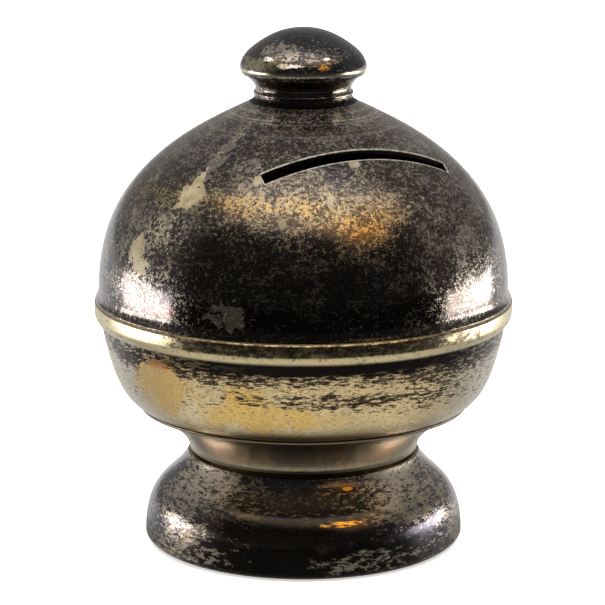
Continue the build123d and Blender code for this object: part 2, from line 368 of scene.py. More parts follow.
def dome_paint():
    p = Paint("tarnished_plate_lid")
    grain = p.noise(p.pos, 1.3, 4.0, 0.68)
    fine = p.noise(p.pos, 3.2, 2.0, 0.6)
    blotch = p.noise(p.pos, 0.22, 4.0, 0.6, 0.5)
    cloud = p.noise(p.pos, 0.075, 3.0, 0.55)
    tone = p.noise(p.pos, 0.9, 3.0, 0.65)
    streak = p.noise(p.around(30.0, p.z - p.r * 0.4, 6.0), 0.7, 3.0, 0.6)
    torn = p.noise(p.pos, 0.55, 3.0, 0.55)
    edge = (blotch - 0.5) * 3.0 + (torn - 0.5) * 5.0
    speck = (grain - 0.5) * 1.3 + (fine - 0.5) * 0.8 + (blotch - 0.5) * 0.7 + (streak - 0.5) * 0.35
    front = p.u.bump(4.0, 30.0) * p.z.ramp(70.0, 58.0)
    level = (
        -0.03
        + front * 0.07
        + p.u.bump(-28.0, 9.0) * p.z.bump(65.0, 6.0) * 0.12
        - p.z.bump(84.0, 5.0) * 0.06
        - p.u.bump(-50.0, 16.0) * p.z.bump(67.0, 8.0) * 0.12
        - p.u.bump(54.0, 15.0) * p.z.bump(66.0, 9.0) * 0.13
        - p.z.bump(74.5, 3.2) * p.u.bump(-2.0, 34.0) * 0.10
    )
    bare = ((speck - level) / 0.30).ramp(0.0, 1.0)
    patches = (
        p.spot(-41.8, 75.0, 5.4, 2.4, edge * 0.8)
        .max(p.spot(-41.8, 77.0, 2.2, 2.6, edge * 0.9))
        .max(p.spot(-39.5, 82.0, 3.0, 4.6, edge * 2.2) * 0.35)
        .max(p.spot(-55.0, 64.4, 3.0, 2.6, edge * 0.9) * 0.9)
        .max(p.spot(-51.5, 61.6, 3.6, 1.6, edge * 1.1) * 0.9)
        .max(p.spot(-46.0, 68.6, 8.0, 3.2, edge * 1.4) * bare.ramp(0.2, 0.7) * 0.75)
        .max(p.spot(-20.5, 54.7, 5.4, 2.3, edge * 1.4) * 0.28)
        .max(p.spot(9.2, 75.8, 1.1, 1.9, edge * 0.8) * 0.9)
        .max(p.spot(-6.4, 71.7, 1.0, 0.9, edge * 0.8) * 0.55)
        .max(p.spot(-17.3, 78.7, 1.9, 1.0, edge * 0.5) * 0.8)
        .max(p.spot(22.5, 81.2, 2.8, 0.6, edge * 0.6) * 0.8)
        .max((tone.ramp(0.665, 0.70) + fine.ramp(0.70, 0.74)) * p.z.ramp(66.0, 70.0) * 0.6)
        .max((streak + (fine - 0.5) * 1.2).ramp(0.42, 0.58) * p.r.ramp(17.5, 14.0) * 0.30)
    )
    metal = p.mix((0.47, 0.41, 0.36), (0.55, 0.51, 0.44), tone.ramp(0.40, 0.60))
    metal = p.mix(metal, KHAKI, cloud.ramp(0.45, 0.58) * 0.5)
    # Painted reflection: a warm brass tint in the bare metal under the slot, where the warm strip of the
    # room is mirrored.
    low = p.z.bump(74.5, 1.9) * p.u.ramp(12.0, 2.0) + p.z.bump(71.5, 3.6) * p.u.bump(17.0, 14.0)
    metal = p.mix(metal, (0.74, 0.56, 0.27), low.clamp() * tone.ramp(0.35, 0.5))
    metal = p.mix(metal, (0.50, 0.43, 0.30), p.z.ramp(72.0, 66.0) * p.u.bump(5.0, 45.0) * 0.8)
    brass = p.mix((0.30, 0.25, 0.14), (0.50, 0.43, 0.28), (torn + fine * 0.5).ramp(0.60, 0.90))
    metal = p.mix(metal, brass, patches)
    dark = tarnish(p, fine, cloud + p.u.abs().ramp(60.0, 85.0) * 0.06, p.u.bump(52.0, 20.0) * 0.9 + 0.4)
    dark = p.mix(dark, (0.30, 0.12, 0.13), p.spot(-43.5, 54.0, 9.0, 1.3, edge * 0.5) * 0.6)
    # Painted shade: the film and the bare metal are darkened on the lower front of the dome, on the
    # camera's side, where the dark room is mirrored.
    dark = p.mix(dark, (0.050, 0.044, 0.040), p.z.ramp(70.0, 60.0) * p.u.bump(1.0, 46.0) * 0.9)
    shade = p.z.ramp(66.0, 56.0) * p.u.bump(5.0, 40.0) * (1.0 - patches)
    metal = p.mix(metal, (0.22, 0.20, 0.16), shade * 0.75)
    colour = p.mix(dark, metal, bare.max(patches))
    lines = p.noise(p.around(3.0, p.z - p.r * 0.8, 1.0), 3.0, 2.0, 0.5)
    scratch = p.noise(p.around(40.0, p.z - p.r * 0.5, 9.0), 0.16, 2.0, 0.5).ramp(0.63, 0.67)
    colour = p.mix(colour, SILVER, scratch * 0.3)
    rings = p.r.bump(12.6, 0.2) + p.r.bump(14.6, 0.25) + p.r.bump(15.5, 0.15) + p.r.bump(19.0, 0.3) * 0.6
    rings = rings * p.z.ramp(80.0, 84.0)
    colour = p.mix(colour, (0.60, 0.56, 0.48), (rings * (speck * 1.5 + 0.7)).clamp())
    rough = bare.ramp(0.0, 1.0, 0.14, 0.28) + patches * 0.2 + (lines - 0.5) * 0.08
    return p.finish(colour, 1.0 - patches * 0.55, rough,
                    bare.max(patches) * 0.5 + lines * 0.3 + rings * 1.5, 0.010)


def bowl_paint():
    p = Paint("worn_brass_bowl")
    dash = p.noise(p.around(40.0, p.z, 4.5), 0.42, 4.0, 0.62)
    thin = p.noise(p.around(40.0, p.z, 5.0), 0.9, 3.0, 0.62)
    blotch = p.noise(p.pos, 0.14, 4.0, 0.62, 0.5)
    grain = p.noise(p.pos, 2.0, 3.0, 0.65)
    edge = (blotch - 0.5) * 5.0 + (thin - 0.5) * 4.0 + (grain - 0.5) * 2.0
    level = (
        0.20
        - p.z.ramp(39.6, 42.8) * 0.32
        - p.spot(4.0, 38.0, 26.0, 1.6) * 0.26
        - p.z.bump(39.0, 7.0) * p.u.bump(44.0, 22.0) * 0.24
        - p.z.bump(38.0, 5.0) * p.u.abs().ramp(90.0, 130.0) * 0.14
        - p.z.bump(42.0, 3.0) * p.u.bump(-58.0, 9.0) * 0.18
        + p.spot(-45.5, 38.6, 8.5, 5.5, edge * 0.5) * 0.4
        - p.z.bump(41.0, 3.0) * p.u.bump(-24.0, 9.0) * 0.10
        + p.z.ramp(35.5, 33.0) * 0.2
    )
    coarse = (dash - 0.5) * 2.1 + (thin - 0.5) * 0.9 + (blotch - 0.5) * 0.6 - level
    small = (thin - 0.5) * 2.2 + (grain - 0.5) * 0.7 + (blotch - 0.5) * 0.8 - level * 1.1 - 0.02
    dark = (coarse / 0.14).ramp(0.0, 1.0).max((small / 0.18).ramp(0.0, 1.0) * 0.85)
    # Tarnish and painted shade: near-black on the bowl just under the band's overhang, except at two
    # places on the sides.
    tarnish_and_shade_below_band = (p.z + (dash - 0.5) * 2.4).ramp(42.3, 43.6)
    tarnish_and_shade_below_band = tarnish_and_shade_below_band * (1.0 - p.u.bump(-64.0, 24.0)) * (1.0 - p.u.bump(76.0, 20.0))
    dark = dark.max(tarnish_and_shade_below_band)
    metal = p.mix((0.64, 0.52, 0.31), (0.74, 0.60, 0.34), blotch.ramp(0.42, 0.56))
    metal = p.mix(metal, (0.76, 0.50, 0.14), p.spot(-17.0, 38.4, 5.0, 2.6, edge * 0.9) * 0.8)
    metal = p.mix(metal, (0.58, 0.44, 0.16), p.spot(-17.0, 38.6, 1.6, 0.8, edge * 0.3) * 0.7)
    metal = p.mix(metal, (0.78, 0.53, 0.16), p.spot(-12.0, 34.0, 18.0, 2.4, edge * 1.2) * 0.8)
    # Painted highlight: paler blotches on the lower bowl, which faces the floor.
    metal = p.mix(metal, (0.76, 0.68, 0.52), blotch.ramp(0.54, 0.62) * p.z.ramp(40.0, 36.0) * 0.6)
    # Painted reflection: grey on the bowl's left and right sides as seen from the camera.
    metal = p.mix(metal, (0.56, 0.52, 0.44), p.u.bump(-64.0, 16.0).max(p.u.bump(68.0, 22.0)) * 0.9)
    metal = p.mix(metal, p.mix((0.66, 0.42, 0.14), (0.76, 0.54, 0.22), thin.ramp(0.4, 0.6)),
                  p.spot(-44.5, 38.8, 10.0, 5.6, edge * 1.5) * 0.9)
    metal = p.mix(metal, (0.60, 0.22, 0.08), p.spot(-44.0, 43.0, 5.0, 0.9, edge * 0.8) * 0.7)
    metal = p.mix(metal, (0.36, 0.29, 0.18), (thin * 0.7 + grain * 0.6).ramp(0.62, 0.80) * 0.8)
    # Painted shade: darker at the bottom of the bowl, where it meets the collar.
    metal = p.mix(metal, (0.30, 0.20, 0.12), p.z.ramp(30.2, 29.0) * 0.6)
    # Dark stains, with the painted shade under the band mixed in.
    stains_and_shade = p.mix((0.030, 0.024, 0.022), (0.13, 0.090, 0.060), grain.ramp(0.45, 0.65) * (1.0 - tarnish_and_shade_below_band))
    stains_and_shade = p.mix(stains_and_shade, (0.010, 0.008, 0.008), tarnish_and_shade_below_band)
    colour = p.mix(metal, stains_and_shade, dark)
    lines = p.noise(p.around(3.0, p.z, 1.0), 3.0, 2.0, 0.5)
    return p.finish(colour, 1.0, dark.ramp(0.0, 1.0, 0.32, 0.24) + (lines - 0.5) * 0.1,
                    lines * 0.3 + grain * 0.5 - dark * 0.4, 0.012)


def band_paint():
    p = Paint("worn_brass_band")
    dash = p.noise(p.around(40.0, p.z, 2.0), 0.6, 4.0, 0.65)
    fine = p.noise(p.pos, 1.8, 3.0, 0.6)
    # Painted reflection: the upper half of the band is darker on the camera's side, where it mirrors the
    # dark room.
    reflected_dark_upper = p.z.ramp(47.2, 47.6) * p.z.ramp(49.95, 49.7)
    front = p.u.ramp(-46.0, -28.0) * p.u.ramp(62.0, 46.0)
    dark = (((dash - 0.5) * 1.6 + (fine - 0.5) * 1.0 + reflected_dark_upper * front * 0.34 - 0.12) / 0.22).ramp(0.0, 1.0)
    metal = p.mix((0.62, 0.52, 0.30), (0.52, 0.46, 0.32), (dash * 0.5 + fine * 0.6).ramp(0.45, 0.65))
    soil = p.mix((0.06, 0.048, 0.036), (0.20, 0.16, 0.11), fine.ramp(0.42, 0.62))
    colour = p.mix(metal, soil, dark * 0.95)
    lines = p.noise(p.around(3.0, p.z, 1.0), 3.0, 2.0, 0.5)
    return p.finish(colour, 1.0, 0.29 + (fine - 0.5) * 0.16, lines * 0.3 - dark * 0.3, 0.010)


def collar_paint():
    p = Paint("collar_brass")
    dash = p.noise(p.around(28.0, p.z - p.r, 1.2), 0.5, 4.0, 0.6)
    fine = p.noise(p.pos, 1.6, 3.0, 0.6)
    # Painted shade: the collar's top, under the bowl, is darkened and broken up by noise.
    top = (p.z.ramp(25.6, 28.0) + (dash - 0.5) * 0.8 + (fine - 0.5) * 0.5).ramp(0.2, 0.9) * 0.7
    metal = p.mix((0.45, 0.38, 0.27), (0.33, 0.28, 0.20), (dash + fine).ramp(0.8, 1.2))
    # Painted highlights: peach glints on the collar's left and right sides.
    painted_side_highlights = p.u.bump(40.0, 8.0).max(p.u.bump(-42.0, 7.0))
    metal = p.mix(metal, (0.72, 0.50, 0.36), painted_side_highlights * p.z.bump(23.5, 2.0) * 0.8)
    # Painted shade: a dark strip along the collar's lower edge in front, for the gap above the foot.
    painted_gap_shade = (p.z + (fine - 0.5) * 0.6).ramp(20.2, 19.7) * p.u.bump(0.0, 62.0)
    colour = p.mix(metal, (0.10, 0.08, 0.055), top)
    colour = p.mix(colour, (0.020, 0.017, 0.014), painted_gap_shade)
    lines = p.noise(p.around(2.0, p.z - p.r * 0.7, 1.0), 3.0, 2.0, 0.5)
    return p.finish(colour, 1.0, 0.30 + (fine - 0.5) * 0.12, lines, 0.008)


def foot_paint():
    p = Paint("tarnished_plate_foot")
    q = p.z - p.r * 0.5
    dash = p.noise(p.around(28.0, q, 3.4), 0.55, 4.0, 0.66)
    fine = p.noise(p.around(28.0, q, 2.0), 1.7, 3.0, 0.66)
    torn = p.noise(p.around(28.0, q, 2.0), 0.5, 3.0, 0.6)
    blotch = p.noise(p.pos, 0.2, 4.0, 0.62, 0.5)
    cloud = p.noise(p.pos, 0.09, 3.0, 0.55)
    edge = (blotch - 0.5) * 5.0 + (fine - 0.5) * 3.0
    speck = (fine - 0.5) * 1.2 + (dash - 0.5) * 1.4 + (torn - 0.5) * 0.8 + (blotch - 0.5) * 0.6
    level = (
        0.10
        + p.u.bump(-2.0, 40.0) * p.z.ramp(11.0, 8.5) * 0.20
        - p.u.bump(44.0, 20.0) * p.z.ramp(7.0, 11.0) * 0.36
        - p.u.bump(-54.0, 24.0) * (p.z.ramp(9.0, 13.0) * 0.10 + 0.24)
        - p.u.bump(72.0, 16.0) * 0.24
        - p.z.bump(16.0, 2.2) * p.u.bump(-26.0, 16.0) * 0.12
    )
    bare = ((speck - level) / 0.30).ramp(0.0, 1.0)
    bare = bare.max(p.spot(-21.0, 11.7, 4.2, 0.6, edge * 0.7) * 0.7).max(p.z.ramp(0.9, 0.5) * 0.6)
    ragged = torn + (fine - 0.5) * 0.6
    flakes = p.spot(24.0, 3.1, 24.0, 2.4, edge * 0.6) * ragged.ramp(0.50, 0.60)
    flakes = flakes.max(p.spot(-40.0, 3.6, 13.0, 2.0, edge * 0.6) * ragged.ramp(0.48, 0.58))
    glint = p.spot(14.0, 10.8, 8.0, 0.40, edge * 0.9) * (dash + fine * 0.5).ramp(0.66, 0.78)
    glint = glint.max(p.spot(20.5, 16.3, 2.4, 0.30, edge * 0.6))
    bare = bare.max(glint).max(flakes * 0.6)
    metal = p.mix(SILVER, (0.50, 0.41, 0.30), blotch.ramp(0.40, 0.58))
    # Painted highlight: the shoulder is lighter, and less dull, on its left and right sides as seen from
    # the camera.
    painted_side_highlights = (p.u.bump(44.0, 24.0) + p.u.bump(-54.0, 24.0)) * p.z.ramp(11.0, 14.0)
    dull = (torn * 0.6 + fine * 0.6).ramp(0.66, 0.50)
    metal = p.mix(metal, (0.34, 0.28, 0.21), dull * (0.8 - painted_side_highlights * 0.5))
    metal = p.mix(metal, (0.80, 0.71, 0.58), painted_side_highlights * 0.75)
    metal = p.mix(metal, (0.27, 0.25, 0.19), flakes)
    metal = p.mix(metal, (0.95, 0.52, 0.09), glint)
    colour = p.mix(tarnish(p, fine, cloud + p.u.abs().ramp(35.0, 60.0) * 0.08, 0.3), metal, bare)
    # Grime with painted shade: near-black and rougher low on the foot's front, on the camera's side.
    grime_and_shade = (p.z + (blotch - 0.5) * 6.0).ramp(9.0, 6.0) * p.u.abs().ramp(60.0, 38.0)
    # Painted shade: a dark band across the front of the shoulder, darkening its reflection.
    painted_shade_band = p.z.bump(10.8, 2.6) * (p.u + (blotch - 0.5) * 30.0).bump(-4.0, 38.0)
    colour = p.mix(colour, (0.030, 0.026, 0.022), painted_shade_band * (1.0 - glint) * 0.9)
    colour = p.mix(colour, SOOT_AND_SHADE, grime_and_shade * (1.0 - bare.max(flakes) * 0.85))
    lines = p.noise(p.around(3.0, p.z - p.r * 0.5, 1.0), 3.0, 2.0, 0.5)
    rough = bare.ramp(0.0, 1.0, 0.14, 0.28) + grime_and_shade * 0.3 + (lines - 0.5) * 0.08
    return p.finish(colour, 1.0 - flakes * 0.4, rough, bare * 0.5 + lines * 0.25, 0.010)


def knob_paint(name, cap):
    p = Paint(name)
    dash = p.noise(p.around(10.0, p.z - p.r * 0.5, 3.0), 0.8, 4.0, 0.64)
    fine = p.noise(p.pos, 2.0, 3.0, 0.6)
    blotch = p.noise(p.pos, 0.35, 4.0, 0.62, 0.5)
    torn = p.noise(p.pos, 0.9, 3.0, 0.6)
    cloud = p.noise(p.pos, 0.15, 2.0, 0.5)
    edge = (blotch - 0.5) * 4.0 + (torn - 0.5) * 5.0
    speck = (fine - 0.5) * 1.1 + (dash - 0.5) * 1.4 + (blotch - 0.5) * 0.8
    rough, pale_wear_and_glint = 0.16, 0.0
    if cap:
        bare = speck - 0.12 - p.u.bump(40.0, 22.0) * 0.04 + p.z.ramp(98.6, 97.0) * 0.10
        bare = (bare / 0.3).ramp(0.0, 1.0)
        scuffed = (torn + (fine - 0.5) * 0.9 + (dash - 0.5) * 0.6).ramp(0.38, 0.50)
        worn = p.spot(-27.0, 100.6, 26.0, 1.5, edge * 0.9) * scuffed
        brushed = (dash + (fine - 0.5) * 0.6).ramp(0.48, 0.62)
        hazy = p.spot(26.0, 100.0, 30.0, 1.4, edge * 0.9) * brushed * 0.6
        # Pale worn patches and, at azimuth 24, a small painted white highlight; all of them are less
        # metallic.
        pale_wear_and_glint = (
            p.spot(-13.0, 98.2, 13.0, 0.40, edge * 0.6)
            .max(p.spot(-37.0, 99.2, 6.0, 0.5, edge * 0.6))
            .max(p.spot(24.0, 99.4, 3.5, 0.25, edge * 0.5))
        ) * (fine * 0.6 + torn * 0.6).ramp(0.46, 0.56)
        low = p.spot(-46.0, 98.2, 26.0, 1.2, edge * 0.8) * (fine + torn * 0.6).ramp(0.62, 0.76) * 0.9
        # Painted highlight: an orange glint on the cap's lower edge.
        spot = p.spot(20.0, 97.7, 6.5, 0.42, edge * 1.0) * (fine + torn * 0.5).ramp(0.60, 0.72)
        # Painted highlight: a bright line round the cap's rim, raised in front.
        painted_rim_highlight = (p.z - p.u.bump(0.0, 60.0) * 0.4).bump(96.15, 0.34)
        bare = bare.max(worn * 0.95).max(hazy).max(pale_wear_and_glint).max(low).max(spot).max(painted_rim_highlight)
        metal = p.mix((0.66, 0.59, 0.53), (0.80, 0.75, 0.65), pale_wear_and_glint)
        metal = p.mix(metal, (0.60, 0.52, 0.33), painted_rim_highlight.max(low))
        metal = p.mix(metal, (0.90, 0.52, 0.14), spot)
        film = p.mix(tarnish(p, fine, cloud + 0.12, 0.1), (0.088, 0.094, 0.098), 0.6)
    else:
        seat = p.z.ramp(91.0, 90.3)
        bare = ((speck - 0.12 + p.u.bump(52.0, 18.0) * 0.30 + p.u.bump(-62.0, 16.0) * 0.18
                 + p.z.bump(91.5, 0.18) * 0.2 - seat * 0.3) / 0.3).ramp(0.0, 1.0)
        metal = p.mix(SILVER, KHAKI, blotch)
        film = p.mix(tarnish(p, fine, cloud + 0.04, 0.1), (0.012, 0.010, 0.010), seat)
        rough = rough + seat * 0.3
    colour = p.mix(film, metal, bare)
    return p.finish(colour, 1.0 - pale_wear_and_glint * 0.8, bare * 0.10 + rough, bare * 0.5 + dash * 0.25, 0.010)


def plain(name, colour, rough, spread=0.08):
    """Plain metal, a little dull in patches."""
    p = Paint(name)
    n = p.noise(p.pos, 0.5, 4.0, 0.6)
    f = p.noise(p.pos, 2.5, 2.0, 0.6)
    dull = tuple(c * 0.45 for c in colour)
    c = p.mix(colour, dull, (n * 0.7 + f * 0.5).ramp(0.55, 0.85))
    return p.finish(c, 1.0, rough + (n - 0.5) * spread * 4, f, 0.006)


def edge_paint():
    p = Paint("slot_edge_metal")
    n = p.noise(p.pos, 1.2, 3.0, 0.6)
    return p.finish(p.mix((0.20, 0.18, 0.155), (0.48, 0.45, 0.39), n.ramp(0.36, 0.56)), 0.5, 0.4)


def wall_paint():
    p = Paint("slot_wall_tarnish")
    n = p.noise(p.pos, 1.2, 3.0, 0.6)
    return p.finish(p.mix((0.006, 0.005, 0.005), (0.03, 0.025, 0.02), n.ramp(0.5, 0.7)), 0.3, 0.6)


inside_paint = plain("inside_brass", (0.46, 0.34, 0.18), 0.42)

# ---- Foot -------------------------------------------------------------------------------
foot_flank = spline([(32.2, 1.6), (31.85, 5.8), (30.95, 9.0), (29.1, 11.8), (26.7, 14.1),
                     (24.8, 16.1), (23.4, 18.4)], (0, 1), (-0.4, 1))
foot_in = offset(foot_flank, 1.2)
foot = Shell()
lathe(foot, outline(
    [arc((30.0, 0), (31.45, 0.6), (32.2, 1.6)), foot_flank, line((23.4, 18.4), (21, 18.4)),
     line((21, 18.4), (21, 18.9), (19.6, 18.9)), line((19.6, 18.9), (19.6, 19.8), (5.4, 19.8)),
     line((5.4, 19.8), (5.4, 17.2)), line((5.4, 17.2), (22, 17.2), foot_in[-1]),
     foot_in[::-1], line(foot_in[0], (29.4, 0)), line((29.4, 0), (30, 0))],
    [0, 0.25, 0, 0, 0, 0, 0, 0, 0, 0]), inside=(2, 3, 4, 5, 6, 7, 8, 9))
foot.piece("foot_plate", "foot", ["foot_shell"], [foot_paint(), inside_paint])

# ---- Neck collar ------------------------------------------------------------------------
cove = spline([(23.1, 19.2), (23.9, 21.5), (25.5, 23.4), (28.7, 26.1), (33.2, 28.1)],
              (0.15, 1), (1, 0.4))
collar = Shell()
lathe(collar, outline(
    [cove, line((33.2, 28.1), (33.2, 28.6)), line((33.2, 28.6), (28.3, 27.35), (27.8, 27.6)),
     line((27.8, 27.6), (25.2, 27.6)), line((25.2, 27.6), (23, 24), (21.8, 20.6), (19.85, 20.2)),
     line((19.85, 20.2), (19.85, 18.9)), line((19.85, 18.9), (22.8, 18.9)),
     line((22.8, 18.9), (23.1, 19.2))],
    [0.15, 0.15, 0, 0, 0, 0, 0.08, 0.12]), inside=(2, 3, 4, 5))
collar.piece("neck_collar_ring", "collar", ["neck_collar"], [collar_paint(), inside_paint])

# ---- Bowl and band ----------------------------------------------------------------------
bowl_side = spline([(33.45, 28.85), (36, 31.2), (37.5, 33.8), (39.5, 39.9), (40.6, 45.4)],
                   (1, 0.65), (0.1, 1))
bowl_in = offset(bowl_side, 1.0)
top_in = bowl_in[-1]
bowl = Shell()
lathe(bowl, outline(
    [bowl_side, line((40.6, 45.4), (40.6, 50)), line((40.6, 50), (top_in[0], 50)),
     line((top_in[0], 50), top_in), bowl_in[::-1], line(bowl_in[0], (28.2, 28.6)),
     line((28.2, 28.6), (5.1, 28.6)), line((5.1, 28.6), (5.1, 27.6)),
     line((5.1, 27.6), (28.4, 27.6)), line((28.4, 27.6), (33.45, 28.85))],
    [0, 0, 0.15, 0, 0, 0, 0, 0, 0, 0.3]), inside=(2, 3, 4, 5, 6, 7, 8, 9))
bowl.piece("bowl_plate", "bowl", ["bowl_shell"], [bowl_paint(), inside_paint])

band = Shell()
lathe(band, outline(
    [arc((40.6, 45.4), (41.62, 46.25), (42, 47.6), 15), line((42, 47.6), (42, 49.6)),
     line((42, 49.6), (41.6, 50)), line((41.6, 50), (40.6, 50)), line((40.6, 50), (40.6, 45.4))],
    [0, 0.1, 0.1, 0, 0]))
band.piece("rim_band_ring", "bowl", ["rim_band"], [band_paint()])

# ---- Lid with the coin slot -------------------------------------------------------------
dome_side = spline([(41.12, 52.6), (40.35, 60), (37.65, 68), (31.9, 76), (23.95, 82.5),
                    (10.7, 89.6)], (0, 1), (-0.9, 0.43), 0.36)
dome_in = offset(dome_side, 1.0)
LEAN, TILT = math.radians(30.2), math.radians(-2.4)
SLOT = Vector((0, -23.75, 82.4))
UP_LID = Vector((0, math.cos(LEAN), math.sin(LEAN)))
OUTWARD = Vector((0, -math.sin(LEAN), math.cos(LEAN)))
ALONG = Vector((1, 0, 0)) * math.cos(TILT) + UP_LID * math.sin(TILT)
ACROSS = UP_LID * math.cos(TILT) - Vector((1, 0, 0)) * math.sin(TILT)
HALF_L, HALF_W, SLOT_R = 19.7, 1.3, 0.2


def on_curve(curve, x, n):
    """Point at (x, n) of the slot's plan, carried along the slot's depth onto the turned curve."""
    lo, hi = -14.0, 8.0
    for _ in range(40):
        t = (lo + hi) / 2
        p = SLOT + ALONG * x + ACROSS * n + OUTWARD * t
        if math.hypot(p.x, p.y) > np.interp(p.z, curve[:, 1], curve[:, 0]):
            hi = t
        else:
            lo = t
    return p


def slot_plan():
    """Points round the slot's plan, each with its outward direction: (x, n, dx, dn)."""
    cx, cn = HALF_L - SLOT_R, HALF_W - SLOT_R
    corners = ((cx, cn, 0), (-cx, cn, 90), (-cx, -cn, 180), (cx, -cn, 270))
    out = []
    for i, (x, n, a) in enumerate(corners):
        for k in range(5):
            t = math.radians(a + k * 22.5)
            out.append((x, n, math.cos(t), math.sin(t)))
        x2, n2, _ = corners[(i + 1) % 4]
        count = max(2, int(math.hypot(x2 - x, n2 - n) / 0.4))
        for k in range(1, count):
            out.append((x + (x2 - x) * k / count, n + (n2 - n) * k / count, math.cos(t), math.sin(t)))
    return out


def surface_normal(curve, points, side):
    """Normals of the turned curve at the points."""
    t = np.gradient(curve, axis=0)
    t /= np.hypot(*t.T)[:, None]
    p = np.asarray(points, float)
    out = np.interp(p[:, 2], curve[:, 1], t[:, 1])
    high = -np.interp(p[:, 2], curve[:, 1], t[:, 0])
    r = np.hypot(p[:, 0], p[:, 1])
    return np.column_stack([out * p[:, 0] / r, out * p[:, 1] / r, high]) * side


def inside_of(q, polygon):
    x, y = polygon[:, 0], polygon[:, 1]
    x2, y2 = np.roll(x, -1), np.roll(y, -1)
    with np.errstate(divide="ignore", invalid="ignore"):
        at = (x2 - x) * (q[1] - y) / (y2 - y) + x
    return bool((((y > q[1]) != (y2 > q[1])) & (q[0] < at)).sum() % 2)


def patch(shell, rows, first, window, ring, ring_first, curve, side, paint):
    """Fills a window left in a turned surface with triangles, down to the ring of points."""
    low, high, left, right = window
    span = rows[low:high + 1]
    along = np.concatenate([[0], np.cumsum(np.hypot(*np.diff(span, axis=0).T))])
    order = np.argsort(span[:, 1])
    flat_r = 28.0          # radius at which the surface is unrolled
    clear = 0.28           # least distance from a grid point to the hole
    hole = np.array([(math.atan2(p[0], -p[1]) * flat_r, np.interp(p[2], span[order, 1], along[order]))
                     for p in ring])
    points, index = [], []
    for i in range(low, high + 1):
        for k in range(left, right + 1):
            q = np.array((math.radians(k * 360 / STEPS) * flat_r, along[i - low]))
            border = i in (low, high) or k in (left, right)
            if not border and (np.hypot(*(hole - q).T).min() < clear or inside_of(q, hole)):
                continue
            points.append(Vector(q))
            index.append(first[i] + k % STEPS)
    start = len(points)
    points += [Vector(q) for q in hole]
    index += [ring_first + j for j in range(len(hole))]
    edges = [(start + j, start + (j + 1) % len(hole)) for j in range(len(hole))]
    _, _, tris, source, _, _ = geometry.delaunay_2d_cdt(points, edges, [], 0, 1e-6, True)
    made = []
    for tri in tris:
        ids = [source[v][0] for v in tri]
        if not inside_of((points[ids[0]] + points[ids[1]] + points[ids[2]]) / 3, hole):
            made.append([index[i] for i in ids])
    made = np.array(made)
    flat = np.vstack(shell.co)
    normals = np.stack([surface_normal(curve, flat[made[:, c]], side) for c in range(3)], 1)
    facing = np.cross(flat[made[:, 1]] - flat[made[:, 0]], flat[made[:, 2]] - flat[made[:, 0]])
    wrong = (facing * normals[:, 0]).sum(1) < 0
    made[wrong], normals[wrong] = made[wrong][:, ::-1], normals[wrong][:, ::-1]
    shell.add_faces(made, normals, paint)


profile = outline(
    [arc((41.75, 50.35), (41.32, 51.3), (41.12, 52.6), 15), dome_side, line((10.7, 89.6), (2.1, 89.6)),
     line((2.1, 89.6), (2.1, 88.6)), line((2.1, 88.6), dome_in[-1]), dome_in[::-1],
     line(dome_in[0], (dome_in[0][0], 50)), line((dome_in[0][0], 50), (41.75, 50)),
     line((41.75, 50), (41.75, 50.35))],
    [0, 0, 0, 0, 0, 0, 0, 0.1, 0.1])
rows, _, run = profile
outer = [i for i in range(len(rows)) if run[i] == 1 and 73 < rows[i][1] < 86.5]
inner = [i for i in range(len(rows)) if run[i] == 5 and 72 < rows[i][1] < 85.8]
WINDOW = 52             # columns left open to each side of the slot's middle
windows = [(outer[0], outer[-1], -WINDOW, WINDOW), (inner[0], inner[-1], -WINDOW, WINDOW)]
lid = Shell()
first = lathe(lid, profile, inside=(2, 3, 4, 5, 6, 7), windows=windows)
plan = slot_plan()


def ring_at(curve, grow, sink=0.0):
    return [on_curve(curve, x + dx * (SLOT_R + grow), n + dn * (SLOT_R + grow)) - OUTWARD * sink
            for x, n, dx, dn in plan]


rings = [ring_at(dome_side, 0.32), ring_at(dome_side, 0.14), ring_at(dome_side, 0.04, 0.04),
         ring_at(dome_side, 0.0, 0.16), ring_at(dome_in, 0.0), ring_at(dome_in, 0.32)]
places = [lid.add([tuple(p) for p in ring]) for ring in rings]
top = surface_normal(dome_side, rings[0], 1)
under = surface_normal(dome_in, rings[5], -1)
wall = np.array([tuple(-(ALONG * dx + ACROSS * dn)) for _, _, dx, dn in plan])
between = (top + wall) / np.linalg.norm(top + wall, axis=1)[:, None]
j = np.arange(len(plan))
m = (j + 1) % len(plan)
for a, b, na, nb, paint in ((0, 1, top, top, 2), (1, 2, top, between, 2), (2, 3, between, wall, 2),
                            (3, 4, wall, wall, 3), (4, 5, under, under, 1)):
    corners = np.column_stack([places[a] + j, places[a] + m, places[b] + m, places[b] + j])
    lid.add_faces(corners, np.stack([na[j], na[m], nb[m], nb[j]], 1), paint)
patch(lid, rows, first, windows[0], rings[0], places[0], dome_side, 1, 0)
patch(lid, rows, first, windows[1], rings[5], places[5], dome_in, -1, 1)
lid.piece("lid_plate", "lid", ["lid_dome"], [dome_paint(), inside_paint, edge_paint(), wall_paint()])

# ---- Knob -------------------------------------------------------------------------------
waist = spline([(9.6, 91.85), (9.55, 92.5), (10.2, 93.7), (11.4, 95.0)], (-0.2, 1), (1, 1), 0.15)
neck = Shell()
lathe(neck, outline(
    [arc((10.6, 89.7), (9.98, 90.2), (9.75, 91.1)), arc((9.75, 91.1), (9.95, 91.5), (9.6, 91.85)),
     waist, line((11.4, 95), (2.1, 95)), line((2.1, 95), (2.1, 89.6)),
     line((2.1, 89.6), (10.6, 89.6)), line((10.6, 89.6), (10.6, 89.7))],
    [0, 0, 0, 0, 0, 0, 0]), steps=180)
neck.piece("knob_neck_stem", "lid", ["knob_neck"], [knob_paint("tarnished_plate_neck", False)])

